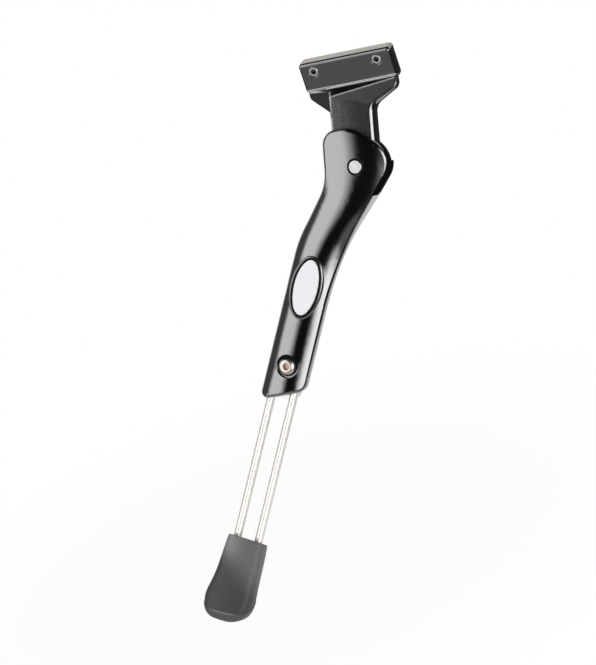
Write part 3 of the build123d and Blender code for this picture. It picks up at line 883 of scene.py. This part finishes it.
class KICKSTAND_OT_screws(bpy.types.Operator):
    """Models a socket screw with its thread and sets two of them in the plate"""

    bl_idname = "kickstand.screws"
    bl_label = "Head screws"

    def execute(self, context):
        sizes = context.scene.stand_sizes
        colours = context.scene.stand_colours
        face, tip = reach("mount_screws", inward)
        grip = sizes.screw_past - face
        length = tip - face
        radius = sizes.screw_width / 2
        across = hexagon(sizes.screw_socket)
        shank = self.shank(context, sizes, radius, grip, across)
        stud = self.stud(radius * sizes.thread_root, grip, length)
        thread = self.thread(sizes, radius * sizes.thread_crest, grip, length)
        only(context, shank, stud, thread)
        bpy.ops.object.join()
        settle(context, shank, rear, -up, inward, rear * -sizes.screw_spacing / 2 + inward * face)
        second = bpy.data.objects.new("screw", shank.data.copy())
        context.collection.objects.link(second)
        second.data.transform(Matrix.Translation(rear * sizes.screw_spacing))
        faces = [rear * side * sizes.screw_spacing / 2 + inward * face for side in (-1, 1)]
        # The head screws' sockets get a dark colour as painted shade.
        steel = socket_steel(colours.plated_steel, colours.painted_socket_shade, faces, inward, across, grip / 2)
        fit(shank, "front_head_screw", steel, "mount_screws", "head")
        fit(second, "rear_head_screw", steel, "mount_screws", "head")
        return {"FINISHED"}

    def shank(self, context, sizes, radius, grip, across):
        """Plain part in the plate, with a rounded rim and a hexagon socket with a pointed floor."""
        shank = start(bpy.ops.mesh.primitive_cylinder_add, vertices=64, radius=radius, depth=grip,
                      location=(0, 0, grip / 2))
        choose(shank, lambda face: face.normal.z < -0.9)
        bpy.ops.mesh.inset(thickness=radius * 0.1)
        bpy.ops.transform.translate(value=(0, 0, -radius * 0.02))
        bpy.ops.object.mode_set(mode="OBJECT")
        finish_shape(shank, type="BEVEL", width=sizes.screw_rim, segments=3, limit_method="ANGLE",
                     angle_limit=radians(60))
        socket = start(bpy.ops.mesh.primitive_cylinder_add, vertices=6, radius=across, depth=grip / 2)
        choose(socket, lambda face: face.normal.z > 0.9)
        bpy.ops.mesh.extrude_region_move(TRANSFORM_OT_translate={"value": (0, 0, across / 2)})
        bpy.ops.transform.resize(value=(0.1, 0.1, 1))
        bpy.ops.object.mode_set(mode="OBJECT")
        only(context, shank)
        finish_shape(shank, type="BOOLEAN", operation="DIFFERENCE", object=socket, solver="EXACT")
        bpy.data.objects.remove(socket)
        finish_shape(shank, type="BEVEL", width=sizes.socket_rim, segments=2, limit_method="ANGLE",
                     angle_limit=radians(50))
        return shank

    def stud(self, core, grip, length):
        """Core of the thread behind the plate, with a bevelled tip."""
        stud = start(bpy.ops.mesh.primitive_cylinder_add, vertices=48, radius=core, depth=length - grip,
                     location=(0, 0, (grip + length) / 2))
        choose(stud, lambda face: face.normal.z > 0.9)
        bpy.ops.mesh.bevel(offset=core * 0.2, segments=2, affect="EDGES")
        bpy.ops.object.mode_set(mode="OBJECT")
        return stud

    def thread(self, sizes, crest, grip, length):
        """Ridge of the thread, wound from one three-sided section."""
        pitch = sizes.screw_pitch
        tooth = pitch * sizes.thread_tooth
        thread = start(bpy.ops.mesh.primitive_circle_add, vertices=3, radius=tooth,
                       location=(crest - tooth, 0, grip + tooth), rotation=(radians(90), radians(90), 0))
        finish_shape(thread, type="SCREW", angle=tau, screw_offset=pitch,
                     iterations=int((length - grip) / pitch - 1), steps=40, render_steps=40)
        close_up(thread)
        return thread


class KICKSTAND_OT_fasteners(bpy.types.Operator):
    """Finishes the pivot pin, the clamp screw and the clamp block"""

    bl_idname = "kickstand.fasteners"
    bl_label = "Pin, clamp screw and block"

    def execute(self, context):
        colours = context.scene.stand_colours
        sizes = context.scene.stand_sizes
        face = leg_out * reach("clamp_screw", leg_out)[1]
        for direction in (rod_across, rod_down):
            face += direction * sum(reach("clamp_screw", direction)) / 2
        across = hexagon(sizes.clamp_socket)
        dress(nodes["clamp_screw"],
              socket_steel(colours.clamp_steel, colours.clamp_socket_brown, [face], -leg_out, across, across))
        dress(nodes["pivot_pin"], plated_steel(colours.peened_steel, 0.0003))
        steel = plated_steel(colours.plated_steel)
        fit(self.block(context, sizes), "clamp_pad", steel, "clamp_block", "leg")
        return {"FINISHED"}

    def block(self, context, sizes):
        """Draws the lower end of the clamp block out of the leg."""
        block = bpy.data.objects.new("block", nodes["clamp_block"].data.copy())
        context.collection.objects.link(block)
        only(context, block)
        end = reach("clamp_block", rod_down)[1] - sizes.block_part
        choose(block, lambda point: point.co.dot(rod_down) > end, "VERT")
        bpy.ops.transform.translate(value=rod_down * sizes.block_end)
        bpy.ops.object.mode_set(mode="OBJECT")
        return block


class KICKSTAND_OT_spring(bpy.types.Operator):
    """Winds the hold spring between the tongue and the leg"""

    bl_idname = "kickstand.spring"
    bl_label = "Hold spring"

    def execute(self, context):
        sizes = context.scene.stand_sizes
        down = rear * -sin(sizes.spring_lean) - leg_up * cos(sizes.spring_lean)
        radius = (sizes.spring_width - sizes.spring_wire) / 2
        spring = start(bpy.ops.mesh.primitive_circle_add, vertices=12, radius=sizes.spring_wire / 2,
                       location=(radius, 0, sizes.spring_wire / 2), rotation=(radians(90), 0, 0))
        pitch = (sizes.spring_length - sizes.spring_wire) / sizes.spring_turns
        finish_shape(spring, type="SCREW", angle=tau, screw_offset=pitch, iterations=sizes.spring_turns,
                     steps=28, render_steps=28)
        close_up(spring)
        seat = middle("hold_spring") + down * sizes.spring_length / 2
        across = leg_out.cross(-down)
        settle(context, spring, leg_out, across, down, seat - down * sizes.spring_length)
        steel = plated_steel(context.scene.stand_colours.plated_steel)
        fit(spring, "coil_spring", steel, "hold_spring", "leg")
        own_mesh(spring)
        return {"FINISHED"}


class KICKSTAND_OT_badge(bpy.types.Operator):
    """Finishes the plain oval badge"""

    bl_idname = "kickstand.badge"
    bl_label = "Badge"

    def execute(self, context):
        dress(nodes["badge"], white_lacquer(context.scene.stand_colours.badge))
        return {"FINISHED"}


class KICKSTAND_OT_rod(bpy.types.Operator):
    """Finishes the stainless wire"""

    bl_idname = "kickstand.rod"
    bl_label = "Rod"

    def execute(self, context):
        dress(nodes["support_rod"], stainless(context.scene.stand_colours.stainless))
        return {"FINISHED"}


class KICKSTAND_OT_foot(bpy.types.Operator):
    """Models the rubber shoe with its rounded toe and its sole"""

    bl_idname = "kickstand.foot"
    bl_label = "Rubber foot"

    def execute(self, context):
        sizes = context.scene.stand_sizes
        colours = context.scene.stand_colours
        foot = self.body(sizes)
        cut = Vector((sizes.sole_lean, 1, sizes.sole_slope)).normalized()
        line = Vector((0, sizes.sole_line, -sole_section.depth))
        self.sole(foot, line, cut, sizes.sole_step)
        place = rod_across * sum(reach("support_rod", rod_across)) / 2
        place += rod_down * reach("rubber_foot", rod_down)[0]
        place += leg_out * sum(reach("rubber_foot", leg_out)) / 2
        settle(context, foot, rod_across, rod_down, -leg_out, place)
        turned = Matrix((rod_across, rod_down, -leg_out)).transposed()
        rubber = foot_rubber(colours.rubber, colours.painted_light_grey, place, place + turned @ line, turned @ cut)
        fit(foot, "foot_shoe", rubber, "rubber_foot", "rod")
        return {"FINISHED"}

    def body(self, sizes):
        """Draws a bevelled block out through the sections and rounds it."""
        top = foot_sections[0]
        thin = 0.0002
        foot = start(bpy.ops.mesh.primitive_cube_add, size=1)
        bpy.ops.object.mode_set(mode="EDIT")
        bpy.ops.mesh.select_all(action="SELECT")
        bpy.ops.transform.resize(value=(top.back - top.front, thin, 2 * top.depth))
        bpy.ops.transform.translate(value=((top.front + top.back) / 2, top.down - thin / 2, 0))

        def upright(edge):
            """Edge through the thickness of the block."""
            first, second = (foot.data.vertices[point].co for point in edge.vertices)
            return abs(first.y - second.y) > thin / 2

        choose(foot, upright, "EDGE")
        bpy.ops.mesh.bevel(offset=top.depth * sizes.foot_corner, segments=1, affect="EDGES")
        bpy.ops.object.mode_set(mode="OBJECT")
        choose(foot, lambda face: face.normal.y > 0.9)
        for last, section in zip(foot_sections, foot_sections[1:]):
            aside = (section.front + section.back - last.front - last.back) / 2
            step = section.down - last.down
            wider = (section.back - section.front) / (last.back - last.front)
            bpy.ops.mesh.extrude_region_move(TRANSFORM_OT_translate={"value": (aside, step, 0)})
            bpy.ops.transform.resize(value=(wider, 1, section.depth / last.depth))
        choose(foot, lambda face: face.center.y < 0.0)
        bpy.ops.transform.rotate(value=sizes.foot_slope, orient_axis="X",
                                 center_override=(0, top.down, -top.depth))
        bpy.ops.object.mode_set(mode="OBJECT")
        finish_shape(foot, type="SUBSURF", levels=3, render_levels=3)
        return foot

    def sole(self, foot, line, cut, step):
        """Parts the sole from the toe with a slanting cut and raises it by a small step."""
        bpy.ops.object.mode_set(mode="EDIT")
        bpy.ops.mesh.select_all(action="SELECT")
        bpy.ops.mesh.bisect(plane_co=line, plane_no=cut)
        bpy.ops.object.mode_set(mode="OBJECT")
        choose(foot, lambda face: (face.center - line).dot(cut) > 0)
        bpy.ops.mesh.extrude_region_shrink_fatten(TRANSFORM_OT_shrink_fatten={"value": step})
        bpy.ops.object.mode_set(mode="OBJECT")


steps = (
    KICKSTAND_OT_stage,
    KICKSTAND_OT_castings,
    KICKSTAND_OT_screws,
    KICKSTAND_OT_fasteners,
    KICKSTAND_OT_spring,
    KICKSTAND_OT_badge,
    KICKSTAND_OT_rod,
    KICKSTAND_OT_foot,
)


class KICKSTAND_PT_panel(bpy.types.Panel):
    """Lists the steps that dress the kickstand"""

    bl_idname = "KICKSTAND_PT_panel"
    bl_label = "Kickstand"
    bl_space_type = "VIEW_3D"
    bl_region_type = "UI"
    bl_category = "Kickstand"

    def draw(self, context):
        for step in steps:
            self.layout.operator(step.bl_idname)


groups = {"stand_sizes": StandSizes, "stand_colours": StandColours, "studio": Studio}


def register():
    for group in groups.values():
        bpy.utils.register_class(group)
    for step in (*steps, KICKSTAND_PT_panel):
        bpy.utils.register_class(step)
    for name, group in groups.items():
        setattr(bpy.types.Scene, name, PointerProperty(type=group))


def unregister():
    for name in groups:
        delattr(bpy.types.Scene, name)
    for step in reversed((*steps, KICKSTAND_PT_panel)):
        bpy.utils.unregister_class(step)
    for group in groups.values():
        bpy.utils.unregister_class(group)


def main():
    register()
    bpy.ops.kickstand.stage()
    bpy.ops.kickstand.castings()
    bpy.ops.kickstand.screws()
    bpy.ops.kickstand.fasteners()
    bpy.ops.kickstand.spring()
    bpy.ops.kickstand.badge()
    bpy.ops.kickstand.rod()
    bpy.ops.kickstand.foot()


if __name__ == "__main__":
    main()
